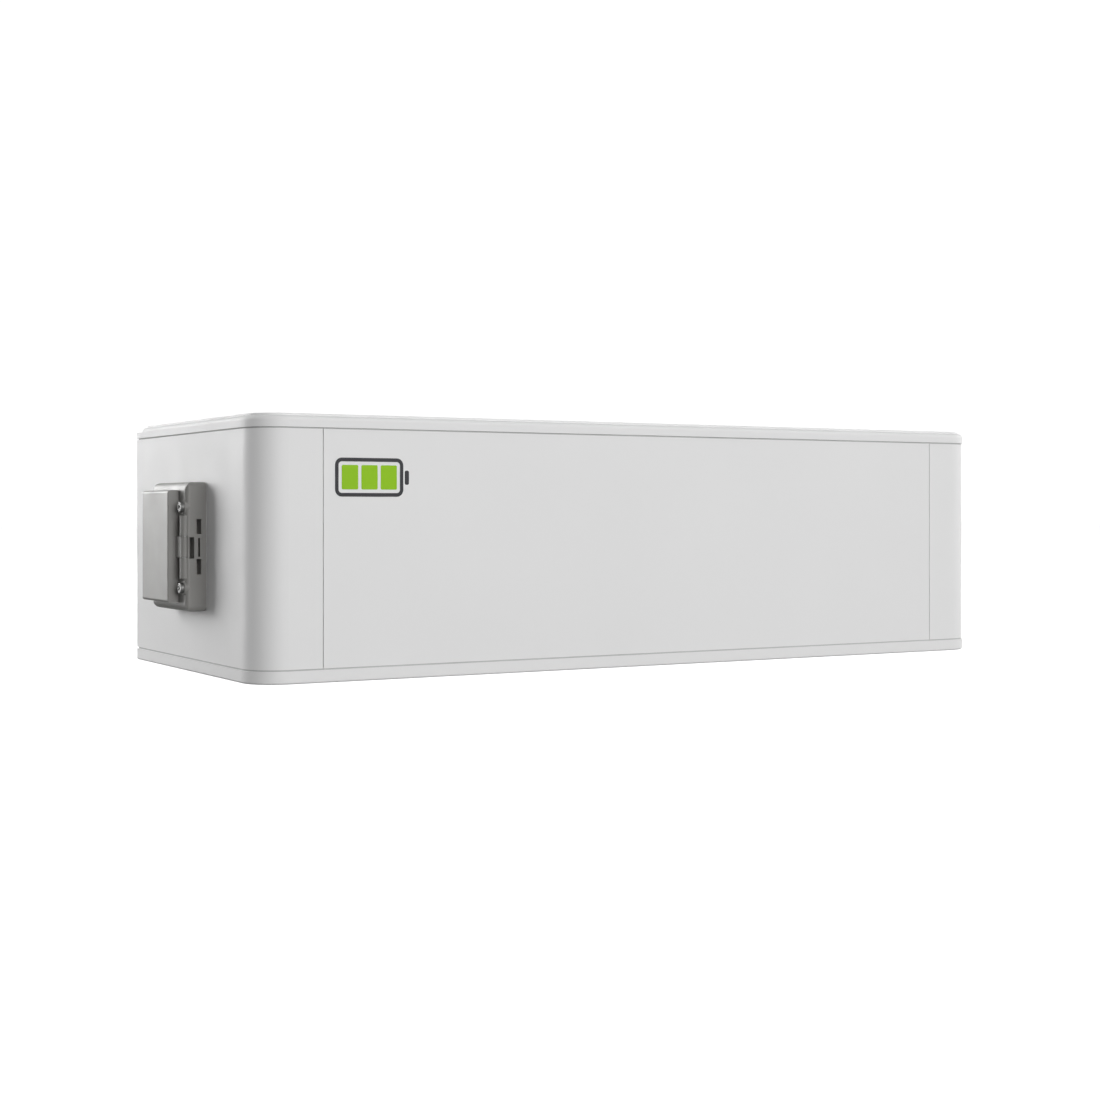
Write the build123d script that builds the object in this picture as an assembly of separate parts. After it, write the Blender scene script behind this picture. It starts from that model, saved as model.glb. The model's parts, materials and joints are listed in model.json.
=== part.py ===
"""Wall battery unit: a stackable 51.2 V lithium battery module with a hinged connector port.

X runs to the right, Y to the back and Z up. The origin is the centre of the tray's flat
underside. All lengths are in millimetres.
"""

import os

from build123d import *

# Driving dimensions of the case
WIDTH = 650.0
LID_DEPTH = 257.5
REAR_PLATE = 2.5
HEIGHT = 185.0
CORNER_RADIUS = 25.0
PROUD = 0.8
SHEET = 1.5
TRAY_TOP = 8.9
LID_BOTTOM = 175.5
SEAM = 1.0
PANEL_WIDTH = 549.0
GROOVE = 0.5
JOGGLE_STEP = 1.0
FLANGE = 14.0
RIM = 16.0
FLOOR = 3.0
SHOULDER_DROP = 1.6
PLATFORM_INSET = 4.0
LEDGE_DEPTH = 14.0
LEDGE_TOP = 180.0
LID_EDGE_RADIUS = 3.4
TRAY_EDGE_RADIUS = 1.5

# Driving dimensions of the pack
CELL_COUNT = 16
CELL_THICKNESS = 26.7
CELL_WIDTH = 148.3
CELL_HEIGHT = 129.8
CELL_GAP = 0.5
CELL_LEFT = -152.0
TERMINAL_OFFSET = 50.0
TERMINAL_RADIUS = 8.0
TERMINAL_HEIGHT = 3.0
CELL_VENT_RADIUS = 7.0
PAD_THICKNESS = 2.0
END_PLATE = 8.0
FOOT_REACH = 16.0
FOOT_HEIGHT = 6.0
STRAP = 1.5
STRAP_BOTTOM = 30.0
STRAP_TOP = 110.0
STRAP_SCREW_Z = (45.0, 95.0)
BUSBAR = 2.0
BUSBAR_HALF = 9.0
BUSBAR_SETBACK = 5.0
SENSE_HALF = 18.0

# Driving dimensions of the management board, its heat sink and the fuse
SINK_LEFT = -305.0
SINK_RIGHT = -182.0
SINK_FRONT = -108.0
SINK_BACK = 16.0
SINK_PLATE = 5.0
SINK_FIN = 8.0
MOSFET = 4.5
BOARD_Z = 22.0
BOARD = 1.6
STANDOFF_INSET = 6.0
POWER_STUD_SETBACK = 14.0
POWER_STUD_X = (30.0, 100.0)
POWER_STUD_HEIGHT = 5.0
BOARD_SOCKET = 9.0
FUSE_Y = 100.0
FUSE_LEFT = -262.0
FUSE_RIGHT = -182.0
FUSE_Z = 26.0
BLADE = 3.0
LEAD_RADIUS = 4.0
HARNESS_RADIUS = 2.5

# Driving dimensions of the port on the left wall
PORT_BOTTOM = 45.8
PORT_TOP = 138.8
PORT_FRONT = -33.0
PORT_BACK = 41.5
PORT_DEPTH = 15.8
PORT_GASKET = 0.8
PORT_LEVEL_RADIUS = 5.5
PORT_FRONT_RADIUS = 3.0
PORT_BACK_RADIUS = 1.0
PORT_CORNER_FRONT = 4.0
PORT_CORNER_BACK = 2.0
WELL = (-11.0, 35.0, 60.0, 125.0)
COVER_BOTTOM = 52.0
COVER_TOP = 133.0
COVER_FRONT = -18.0
COVER_BACK = 41.0
COVER_HEIGHT = 24.3
COVER_GAP = 0.4
COVER_WALL = 2.2
COVER_LEVEL_RADIUS = 2.0
COVER_SIDE_RADIUS = 1.0
HINGE_Y = -28.8
HINGE_OUT = 15.4
HINGE_BOTTOM = 69.8
HINGE_TOP = 114.8
HINGE_GAP = 0.4
KNUCKLE_RADIUS = 3.4
COVER_KNUCKLE_RADIUS = 3.1
NOTCH_RADIUS = 3.5
NOTCH_SHELF = 1.4
ARM_THICKNESS = 2.3
PIN_RADIUS = 1.5
PIN_CLEARANCE = 0.05
PORT_SCREW_Y = -28.2
PORT_SCREW_Z = (62.8, 120.9)
PORT_HEAD_RADIUS = 3.85
PORT_HEAD_HEIGHT = 2.7
BOSS_RADIUS = 5.0
BOSS_HEIGHT = 0.8
INNER_SCREW_Y = (-4.0, 28.0)
INNER_SCREW_Z = (55.0, 130.0)
POCKET_DEPTH = 9.0
SIDE_POCKETS = (
    (4.4, 8.2, 72.5, 83.6),
    (4.4, 8.2, 101.5, 112.3),
    (9.6, 13.4, 83.9, 99.3),
    (5.2, 6.7, 85.2, 98.7),
)
PLATE = 3.0
SOCKET_Y = 2.0
SOCKET_Z = (78.0, 107.0)
SOCKET_OUT = 12.0
SOCKET_RADIUS = 7.5
SOCKET_BORE = 4.0
SOCKET_DEPTH = 11.0
JACK_Y = 24.0
JACK_Z = (112.0, 95.0)
JACK_OUT = 3.0
JACK_HALF_WIDTH = 8.0
JACK_HALF_HEIGHT = 7.0
JACK_DEPTH = 12.0
BUTTON_Z = 79.0
BUTTON_OUT = 2.0
BUTTON_RADIUS = 4.0
BUTTON_TRAVEL = 1.5
BUTTON_PLAY = 0.3
SWITCH = 4.5
VENT_Z = 66.5
VENT_RADIUS = 4.0
STUD_Z = 92.5
STUD_OUT = 9.0
STUD_RADIUS = 2.5

# Fasteners
SCREW_RADIUS = 2.0
CLEARANCE_RADIUS = 2.3
HEAD_RADIUS = 3.8
HEAD_HEIGHT = 2.4
HEAD_SINK = 4.0
SHANK = 8.4
LID_SHANK = 5.9
THREAD_DEPTH = 3.9
SCREW_INSET = 9.0
SIDE_SCREW_Y = (-80.0, 10.0, 100.0)
CORNER_SCREW_X = 288.0
MIDDLE_SCREW_X = (-200.0, 0.0, 200.0)
STUD_INSET = 6.5
STUD_LENGTH = 5.0
M3_RADIUS = 1.5
M3_CLEARANCE = 1.7
M3_HEAD_RADIUS = 2.7
M3_HEAD_HEIGHT = 1.8
M3_LENGTH = 8.0
PACK_BOLT_RADIUS = 2.5
PACK_BOLT_Y = (-55.0, 55.0)
PACK_BOLT_DEPTH = 2.5
WALL_SPACING_X = 300.0
WALL_SPACING_Z = 100.0
INSERT_BORE = 3.0
INSERT_RADIUS = 5.0
INSERT_BODY_RADIUS = 7.0
INSERT_LENGTH = 13.0
INSERT_DEPTH = 11.0

# Places worked out from the driving dimensions
HALF_WIDTH = WIDTH / 2
LID_FRONT = -LID_DEPTH / 2
LID_BACK = LID_DEPTH / 2
REAR_FACE = LID_BACK + REAR_PLATE
BODY_BOTTOM = TRAY_TOP + SEAM
BODY_TOP = LID_BOTTOM - SEAM
BODY_FRONT = LID_FRONT + PROUD
BODY_HALF = HALF_WIDTH - PROUD
MIDDLE_Z = (PORT_BOTTOM + PORT_TOP) / 2
WALL_X = -BODY_HALF
WALL_INSIDE = WALL_X + SHEET
PANEL_HALF = PANEL_WIDTH / 2
STRIP_EDGE = PANEL_HALF + GROOVE
JOGGLE_Y = BODY_FRONT + SHEET + JOGGLE_STEP
PITCH = CELL_THICKNESS + CELL_GAP
CELL_RIGHT = CELL_LEFT + CELL_COUNT * PITCH - CELL_GAP
CELL_BOTTOM = FLOOR + PAD_THICKNESS
CELL_TOP = CELL_BOTTOM + CELL_HEIGHT
CELL_HALF = CELL_WIDTH / 2
TERMINAL_TOP = CELL_TOP + TERMINAL_HEIGHT
BUSBAR_TOP = TERMINAL_TOP + BUSBAR
SINK_TOP = FLOOR + SINK_PLATE
BOARD_TOP = BOARD_Z + BOARD
PORT_FACE = WALL_X - PORT_DEPTH
PORT_FOOT = WALL_X - PORT_GASKET
COVER_INNER = PORT_FACE - COVER_GAP
HINGE_X = WALL_X - HINGE_OUT
THIRD = (HINGE_TOP - HINGE_BOTTOM) / 3
COVER_KNUCKLE_BOTTOM = HINGE_BOTTOM + THIRD
COVER_KNUCKLE_TOP = HINGE_TOP - THIRD
SCREW_SEAT = PORT_FACE - BOSS_HEIGHT
PLATE_INNER = WALL_INSIDE + PLATE
PORT_BOARD_X = PLATE_INNER + 14.0
SOCKET_END = PLATE_INNER + 6.0


# Shapes that several pieces share

def slab(x0, x1, y0, y1, z0, z1):
    """A block between two corners."""
    middle = ((x0 + x1) / 2, (y0 + y1) / 2, (z0 + z1) / 2)
    return Pos(*middle) * Box(abs(x1 - x0), abs(y1 - y0), abs(z1 - z0))


def rod_x(x0, x1, y, z, radius):
    """A round bar along X."""
    return Pos((x0 + x1) / 2, y, z) * Rot(0, 90, 0) * Cylinder(radius, abs(x1 - x0))


def rod_y(x, y0, y1, z, radius):
    """A round bar along Y."""
    return Pos(x, (y0 + y1) / 2, z) * Rot(90, 0, 0) * Cylinder(radius, abs(y1 - y0))


def rod_z(x, y, z0, z1, radius):
    """A round bar along Z."""
    return Pos(x, y, (z0 + z1) / 2) * Cylinder(radius, abs(z1 - z0))


def soften(block, along, across, low, high):
    """Round a block's four edges along one axis, by low at one end of another axis and high."""
    block = fillet(block.edges().filter_by(along).sort_by(across)[:2], low)
    return fillet(block.edges().filter_by(along).sort_by(across)[-2:], high)


def edges_at(shape, axis, place):
    """The edges of a shape that lie at one place along an axis."""
    tolerance = 0.01
    return shape.edges().filter_by_position(axis, place - tolerance, place + tolerance)


def plan(inset):
    """The case outline seen from above, with rounded front corners, moved inwards by inset."""
    smallest_radius = 1.0
    outline = Rectangle(2 * (HALF_WIDTH - inset), 2 * (LID_BACK - inset))
    front = outline.vertices().sort_by(Axis.Y)[:2]
    return fillet(front, max(CORNER_RADIUS - inset, smallest_radius))


def prism(inset, z0, z1):
    """The case outline as a solid between two heights."""
    return Pos(0, 0, z0) * extrude(plan(inset), amount=z1 - z0)


def rim_points():
    """The places of the screws that hold the lid and the tray."""
    side_x = HALF_WIDTH - SCREW_INSET
    front_y = LID_FRONT + SCREW_INSET
    back_y = LID_BACK - SCREW_INSET
    points = [(side * side_x, y) for side in (-1, 1) for y in SIDE_SCREW_Y]
    points += [(side * CORNER_SCREW_X, front_y) for side in (-1, 1)]
    points += [(x, y) for x in MIDDLE_SCREW_X for y in (front_y, back_y)]
    return points


# Case

def make_bottom_tray():
    """The shallow base casting, with sunk seats for its screws and blind threads for the pack."""
    seat_play = 0.7
    tray = prism(0, 0, TRAY_TOP)
    tray = fillet(edges_at(tray, Axis.Z, 0), TRAY_EDGE_RADIUS)
    tray -= prism(RIM, FLOOR, TRAY_TOP)
    for x, y in rim_points():
        tray -= rod_z(x, y, 0, TRAY_TOP, CLEARANCE_RADIUS)
        tray -= rod_z(x, y, 0, HEAD_SINK, HEAD_RADIUS + seat_play)
    for x, y in pack_bolt_points():
        tray -= rod_z(x, y, FLOOR - PACK_BOLT_DEPTH, FLOOR, PACK_BOLT_RADIUS)
    return tray


def make_top_lid():
    """The lid: a skirt, a rounded shoulder, a platform for the next unit and a rear ledge."""
    platform_root = 1.0
    platform_radius = 0.5
    shoulder = HEIGHT - SHOULDER_DROP
    skirt = prism(0, LID_BOTTOM, shoulder)
    skirt = fillet(edges_at(skirt, Axis.Z, shoulder), LID_EDGE_RADIUS)
    platform = prism(PLATFORM_INSET, shoulder - platform_root, HEIGHT)
    platform = fillet(edges_at(platform, Axis.Z, HEIGHT), platform_radius)
    lid = skirt + platform
    lid -= prism(RIM, LID_BOTTOM, HEIGHT - FLOOR)
    lid -= slab(-HALF_WIDTH, HALF_WIDTH, LID_BACK - LEDGE_DEPTH, LID_BACK, LEDGE_TOP, HEIGHT)
    for x, y in rim_points():
        lid -= rod_z(x, y, LID_BOTTOM, LID_BOTTOM + THREAD_DEPTH, SCREW_RADIUS)
    return lid


def make_ring(z0):
    """A flat gasket that lies between the body's flanges and the tray or lid."""
    setback = 0.3
    ring = prism(PROUD + setback, z0, z0 + SEAM) - prism(FLANGE - setback, z0, z0 + SEAM)
    for x, y in rim_points():
        ring -= rod_z(x, y, z0, z0 + SEAM, CLEARANCE_RADIUS)
    return ring


def drill_flanges(panel, points):
    """Threaded holes in the bottom flange and clearance holes in the top one."""
    for x, y in points:
        panel -= rod_z(x, y, BODY_BOTTOM, BODY_BOTTOM + SHEET, SCREW_RADIUS)
        panel -= rod_z(x, y, BODY_TOP - SHEET, BODY_TOP, CLEARANCE_RADIUS)
    return panel


def make_side_panel():
    """The left side panel: front strip, rounded corner, wall and the flanges that stiffen it."""
    back_y = LID_BACK - PROUD - SHEET - 1.0
    inner = FLANGE - HALF_WIDTH
    body = prism(PROUD, BODY_BOTTOM, BODY_TOP)
    hollow = prism(PROUD + SHEET, BODY_BOTTOM + SHEET, BODY_TOP - SHEET)
    rear = slab(-HALF_WIDTH, HALF_WIDTH, back_y, LID_BACK, 0, HEIGHT)
    opening = prism(FLANGE, BODY_BOTTOM, BODY_TOP)
    opening += slab(inner, 0, 0, LID_BACK, BODY_BOTTOM, BODY_TOP)
    side = slab(-HALF_WIDTH, -STRIP_EDGE, LID_FRONT, LID_BACK, 0, HEIGHT)
    panel = (body - hollow - opening - rear) & side
    panel += slab(WALL_X, WALL_INSIDE, back_y, LID_BACK, BODY_BOTTOM, BODY_TOP)
    for z0 in (BODY_BOTTOM, BODY_TOP - SHEET):
        panel += slab(WALL_X, inner, back_y, LID_BACK, z0, z0 + SHEET)
    panel += slab(WALL_X, inner, LID_BACK - SHEET, LID_BACK, BODY_BOTTOM, BODY_TOP)
    web_x = -STRIP_EDGE - SHEET
    tab_x = -STRIP_EDGE + FLANGE
    tab_back = JOGGLE_Y + SHEET
    panel += slab(web_x, -STRIP_EDGE, BODY_FRONT, JOGGLE_Y, BODY_BOTTOM, BODY_TOP)
    panel += slab(web_x, tab_x, JOGGLE_Y, tab_back, BODY_BOTTOM, BODY_TOP)
    panel = drill_flanges(panel, [point for point in rim_points() if point[0] < -STRIP_EDGE])
    for x, z in stud_points():
        if x < 0:
            panel -= rod_y(x, JOGGLE_Y, tab_back, z, CLEARANCE_RADIUS)
    return panel


def make_left_side_panel():
    """The side panel with the window and the screw holes of the port."""
    panel = make_side_panel()
    panel -= slab(WALL_X, WALL_INSIDE, *port_window())
    for z in PORT_SCREW_Z:
        panel -= rod_x(WALL_X, WALL_INSIDE, PORT_SCREW_Y, z, SCREW_RADIUS)
    for y, z in inner_screw_points():
        panel -= rod_x(WALL_X, WALL_INSIDE, y, z, M3_CLEARANCE)
    return panel


def make_right_side_panel():
    """The plain side panel, the mirror image of the left one."""
    return mirror(make_side_panel(), about=Plane.YZ)


def stud_points():
    """The places of the weld studs on the back of the front panel."""
    lift = 60.0
    heights = (MIDDLE_Z - lift - 0.3, MIDDLE_Z, MIDDLE_Z + lift - 0.3)
    return [(side * (PANEL_HALF - STUD_INSET), z) for side in (-1, 1) for z in heights]


def make_front_panel():
    """The flat front panel, with flanges along its top and bottom and six weld studs."""
    reach = STRIP_EDGE - FLANGE - SHEET
    flange_back = LID_FRONT + FLANGE
    face_back = BODY_FRONT + SHEET
    panel = slab(-PANEL_HALF, PANEL_HALF, BODY_FRONT, face_back, BODY_BOTTOM, BODY_TOP)
    for z0 in (BODY_BOTTOM, BODY_TOP - SHEET):
        panel += slab(-reach, reach, BODY_FRONT, flange_back, z0, z0 + SHEET)
    for x, z in stud_points():
        panel += rod_y(x, face_back, JOGGLE_Y + SHEET + STUD_LENGTH, z, SCREW_RADIUS)
    holes = [(x, y) for x, y in rim_points() if y < flange_back and abs(x) < reach]
    return drill_flanges(panel, holes)


def make_front_panel_seals():
    """The two foam strips that fill the step behind the front panel's ends."""
    setback = 2.0
    face_back = BODY_FRONT + SHEET
    bottom = BODY_BOTTOM + SHEET
    top = BODY_TOP - SHEET
    seals = []
    for side in (-1, 1):
        inner = side * (PANEL_HALF - FLANGE + setback)
        seal = slab(side * PANEL_HALF, inner, face_back, JOGGLE_Y, bottom, top)
        for x, z in stud_points():
            seal -= rod_y(x, face_back, JOGGLE_Y, z, SCREW_RADIUS)
        seals.append(seal)
    return Compound(children=seals)


def make_front_panel_nuts():
    """The nuts on the weld studs."""
    corner_radius = 4.04
    thickness = 3.2
    nuts = []
    for x, z in stud_points():
        y0 = JOGGLE_Y + SHEET
        profile = Plane(origin=(x, y0, z), z_dir=(0, 1, 0)) * RegularPolygon(corner_radius, 6)
        nut = extrude(profile, amount=thickness)
        nuts.append(nut - rod_y(x, y0, y0 + thickness, z, SCREW_RADIUS))
    return Compound(children=nuts)


def wall_points():
    """The places of the four threaded wall inserts, as X and Z."""
    xs = (-WALL_SPACING_X / 2, WALL_SPACING_X / 2)
    zs = (MIDDLE_Z - WALL_SPACING_Z / 2, MIDDLE_Z + WALL_SPACING_Z / 2)
    return [(x, z) for x in xs for z in zs]


def make_rear_panel():
    """The plate that stands against the wall, with flanges under the lid and on the tray."""
    panel = slab(-BODY_HALF, BODY_HALF, LID_BACK, REAR_FACE, BODY_BOTTOM, BODY_TOP)
    flange_front = LID_BACK - FLANGE
    reach = HALF_WIDTH - FLANGE - 2.0
    for z0 in (BODY_BOTTOM, BODY_TOP - SHEET):
        panel += slab(-reach, reach, flange_front, LID_BACK, z0, z0 + SHEET)
    panel = drill_flanges(panel, [point for point in rim_points() if point[1] > flange_front])
    for x, z in wall_points():
        panel -= rod_y(x, LID_BACK, REAR_FACE, z, INSERT_RADIUS)
    return panel


def make_wall_inserts():
    """Threaded inserts, flush with the back of the rear panel and blind at their inner end."""
    inserts = []
    for x, z in wall_points():
        insert = rod_y(x, LID_BACK, REAR_FACE, z, INSERT_RADIUS)
        insert += rod_y(x, LID_BACK - INSERT_LENGTH, LID_BACK, z, INSERT_BODY_RADIUS)
        insert -= rod_y(x, LID_BACK - INSERT_DEPTH, REAR_FACE, z, INSERT_BORE)
        inserts.append(insert)
    return Compound(children=inserts)


def panel_screw(x, y, seat, shank):
    """A pan-head screw that points up, with the top of its head against seat."""
    edge_radius = 0.8
    hexagon_radius = 1.6
    hexagon_depth = 1.4
    bottom = seat - HEAD_HEIGHT
    head = rod_z(x, y, bottom, seat, HEAD_RADIUS)
    head = fillet(edges_at(head, Axis.Z, bottom), edge_radius)
    hexagon = extrude(RegularPolygon(hexagon_radius, 6), amount=hexagon_depth)
    return head + rod_z(x, y, seat, seat + shank, SCREW_RADIUS) - Pos(x, y, bottom) * hexagon


def make_case_screws():
    """The screws of the tray, put in from below, and of the lid, put in from inside."""
    screws = []
    for x, y in rim_points():
        screws.append(panel_screw(x, y, HEAD_SINK, SHANK))
        screws.append(panel_screw(x, y, BODY_TOP - SHEET, LID_SHANK))
    return Compound(children=screws)


# Cell pack

def cell_x(index):
    """The left face of a cell."""
    return CELL_LEFT + index * PITCH


def cell_middle(index):
    """The middle of a cell along X."""
    return cell_x(index) + CELL_THICKNESS / 2


def make_cell(index):
    """A prismatic cell: its can, its two terminal blocks and its relief vent disc."""
    can_radius = 2.0
    disc_height = 0.6
    x0 = cell_x(index)
    middle = cell_middle(index)
    can = slab(x0, x0 + CELL_THICKNESS, -CELL_HALF, CELL_HALF, CELL_BOTTOM, CELL_TOP)
    can = fillet(can.edges().filter_by(Axis.Z), can_radius)
    solids = [can]
    for y in (-TERMINAL_OFFSET, TERMINAL_OFFSET):
        solids.append(rod_z(middle, y, CELL_TOP, TERMINAL_TOP, TERMINAL_RADIUS))
    solids.append(rod_z(middle, 0, CELL_TOP, CELL_TOP + disc_height, CELL_VENT_RADIUS))
    return Compound(children=solids)


def make_cell_spacers():
    """The thin insulating sheets between neighbouring cells."""
    setback = 4.0
    half = CELL_HALF - setback
    bottom = CELL_BOTTOM + setback
    top = CELL_TOP - setback
    sheets = []
    for index in range(CELL_COUNT - 1):
        x0 = cell_x(index) + CELL_THICKNESS
        sheets.append(slab(x0, x0 + CELL_GAP, -half, half, bottom, top))
    return Compound(children=sheets)


def make_cell_base_pad():
    """The insulating pad between the cells and the tray."""
    setback = 2.0
    half = CELL_HALF - setback
    return slab(CELL_LEFT, CELL_RIGHT, -half, half, FLOOR, CELL_BOTTOM)


def pack_bolt_points():
    """The places of the bolts that hold the end plates' feet to the tray."""
    reach = END_PLATE + FOOT_REACH / 2
    return [(x, y) for x in (CELL_LEFT - reach, CELL_RIGHT + reach) for y in PACK_BOLT_Y]


def make_end_plate(inner_x, direction):
    """An end plate with a foot; direction is the way that the foot points along X."""
    plate_drop = 2.0
    bolt_play = 0.3
    thread = 12.0
    foot_top = FLOOR + FOOT_HEIGHT
    outer_x = inner_x + direction * END_PLATE
    foot_x = outer_x + direction * FOOT_REACH
    plate = slab(inner_x, outer_x, -CELL_HALF, CELL_HALF, FLOOR, CELL_TOP - plate_drop)
    plate += slab(outer_x, foot_x, -CELL_HALF, CELL_HALF, FLOOR, foot_top)
    for x, y in pack_bolt_points():
        plate -= rod_z(x, y, FLOOR, foot_top, PACK_BOLT_RADIUS + bolt_play)
    middle = (inner_x + outer_x) / 2
    for z in STRAP_SCREW_Z:
        for side in (-1, 1):
            face = side * CELL_HALF
            plate -= rod_y(middle, face, face - side * thread, z, SCREW_RADIUS)
    return plate


def make_left_end_plate():
    """The end plate towards the port."""
    return make_end_plate(CELL_LEFT, -1)


def make_right_end_plate():
    """The end plate away from the port."""
    return make_end_plate(CELL_RIGHT, 1)


def make_pack_bolts():
    """Hexagon bolts through the end plates' feet into the tray."""
    hexagon_radius = 4.6
    hexagon_height = 3.5
    seat = FLOOR + FOOT_HEIGHT
    bolts = []
    for x, y in pack_bolt_points():
        bolt = rod_z(x, y, FLOOR - PACK_BOLT_DEPTH, seat, PACK_BOLT_RADIUS)
        bolt += Pos(x, y, seat) * extrude(RegularPolygon(hexagon_radius, 6), amount=hexagon_height)
        bolts.append(bolt)
    return Compound(children=bolts)


def make_side_strap(side):
    """A flat band along one long side of the pack, from end plate to end plate."""
    left = CELL_LEFT - END_PLATE
    right = CELL_RIGHT + END_PLATE
    inner = side * CELL_HALF
    outer = side * (CELL_HALF + STRAP)
    strap = slab(left, right, inner, outer, STRAP_BOTTOM, STRAP_TOP)
    for x in (left + END_PLATE / 2, right - END_PLATE / 2):
        for z in STRAP_SCREW_Z:
            strap -= rod_y(x, inner, outer, z, CLEARANCE_RADIUS)
    return strap


def make_front_side_strap():
    """The band along the front of the pack."""
    return make_side_strap(-1)


def make_rear_side_strap():
    """The band along the back of the pack."""
    return make_side_strap(1)


def make_strap_screws():
    """The screws that hold both bands to both end plates."""
    depth = 11.0
    head_radius = 3.5
    head_height = 2.2
    screws = []
    for x in (CELL_LEFT - END_PLATE / 2, CELL_RIGHT + END_PLATE / 2):
        for z in STRAP_SCREW_Z:
            for side in (-1, 1):
                face = side * (CELL_HALF + STRAP)
                screw = rod_y(x, face, side * (CELL_HALF - depth), z, SCREW_RADIUS)
                screw += rod_y(x, face, face + side * head_height, z, head_radius)
                screws.append(screw)
    return Compound(children=screws)


def make_busbar_holder():
    """The insulating frame on the cells, with a hole at each terminal and relief vent."""
    half = 70.0
    terminal_play = 0.5
    vent_play = 1.0
    holder = slab(CELL_LEFT, CELL_RIGHT, -half, half, CELL_TOP, TERMINAL_TOP)
    for index in range(CELL_COUNT):
        middle = cell_middle(index)
        for y in (-TERMINAL_OFFSET, TERMINAL_OFFSET):
            holder -= rod_z(middle, y, CELL_TOP, TERMINAL_TOP, TERMINAL_RADIUS + terminal_play)
        holder -= rod_z(middle, 0, CELL_TOP, TERMINAL_TOP, CELL_VENT_RADIUS + vent_play)
    return holder


def link_side(index):
    """The side of the pack, as a sign along Y, on which a cell is joined to the next one."""
    return -1 if index % 2 == 0 else 1


def make_busbars():
    """The links between neighbouring cells and the two end bars, as flat plates."""
    end_reach = 78.0
    near = TERMINAL_OFFSET - BUSBAR_HALF
    far = TERMINAL_OFFSET + BUSBAR_HALF
    bars = []
    for index in range(CELL_COUNT - 1):
        side = link_side(index)
        x0 = cell_x(index) + BUSBAR_SETBACK
        x1 = cell_x(index + 1) + CELL_THICKNESS - BUSBAR_SETBACK
        bars.append(slab(x0, x1, side * near, side * far, TERMINAL_TOP, BUSBAR_TOP))
    for index in (0, CELL_COUNT - 1):
        x0 = cell_x(index) + BUSBAR_SETBACK
        x1 = cell_x(index) + CELL_THICKNESS - BUSBAR_SETBACK
        bars.append(slab(x0, x1, near, end_reach, TERMINAL_TOP, BUSBAR_TOP))
    return Compound(children=bars)


def make_sense_board():
    """The cell voltage board along the middle of the pack, with a tab for each link."""
    setback = 4.0
    vent_hole = 6.0
    tab_half = 2.0
    tab = 0.5
    socket_half = 12.0
    z0 = TERMINAL_TOP
    top = z0 + BOARD
    board = slab(CELL_LEFT + setback, CELL_RIGHT - setback, -SENSE_HALF, SENSE_HALF, z0, top)
    for index in range(CELL_COUNT):
        board -= rod_z(cell_middle(index), 0, z0, top, vent_hole)
    solids = [board]
    for index in range(CELL_COUNT - 1):
        x = cell_x(index) + CELL_THICKNESS
        near = link_side(index) * SENSE_HALF
        far = link_side(index) * (TERMINAL_OFFSET - BUSBAR_HALF)
        solids.append(slab(x - tab_half, x + tab_half, near, far, z0, z0 + tab))
    socket_x = CELL_LEFT + 6.0
    solids.append(slab(socket_x, socket_x + 8.0, -socket_half, socket_half, top, z0 + 9.0))
    return Compound(children=solids)


# Battery management

def standoff_points():
    """The places of the board's four standoffs."""
    xs = (SINK_LEFT + STANDOFF_INSET, SINK_RIGHT - STANDOFF_INSET)
    ys = (SINK_FRONT + STANDOFF_INSET, SINK_BACK - STANDOFF_INSET)
    return [(x, y) for x in xs for y in ys]


def make_bms_heat_sink():
    """The heat sink: a plate on the tray with eight fins behind the transistors."""
    fin = 3.0
    fin_pitch = 15.0
    fin_front = SINK_FRONT + 70.0
    fin_back = SINK_BACK - 14.0
    sink = slab(SINK_LEFT, SINK_RIGHT, SINK_FRONT, SINK_BACK, FLOOR, SINK_TOP)
    for step in range(8):
        x = SINK_LEFT + 14.0 + step * fin_pitch
        sink += slab(x, x + fin, fin_front, fin_back, SINK_TOP, SINK_TOP + SINK_FIN)
    for x, y in standoff_points():
        sink -= rod_z(x, y, FLOOR + 1.0, SINK_TOP, M3_RADIUS)
    return sink


def make_bms_mosfets():
    """Two rows of power transistors on the heat sink."""
    width = 15.0
    length = 20.0
    pitch = 17.5
    row_pitch = 26.0
    inset = 14.0
    bodies = []
    for row in (0, 1):
        for step in range(6):
            x = SINK_LEFT + inset + step * pitch
            y = SINK_FRONT + inset + row * row_pitch
            bodies.append(slab(x, x + width, y, y + length, SINK_TOP, SINK_TOP + MOSFET))
    return Compound(children=bodies)


def make_bms_standoffs():
    """Hexagon standoffs, threaded at both ends, between the heat sink and the board."""
    hexagon_radius = 3.2
    thread = 7.0
    posts = []
    for x, y in standoff_points():
        hexagon = extrude(RegularPolygon(hexagon_radius, 6), amount=BOARD_Z - SINK_TOP)
        post = Pos(x, y, SINK_TOP) * hexagon
        post += rod_z(x, y, FLOOR + 1.0, SINK_TOP, M3_RADIUS)
        post -= rod_z(x, y, BOARD_Z - thread, BOARD_Z, M3_RADIUS)
        posts.append(post)
    return Compound(children=posts)


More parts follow.
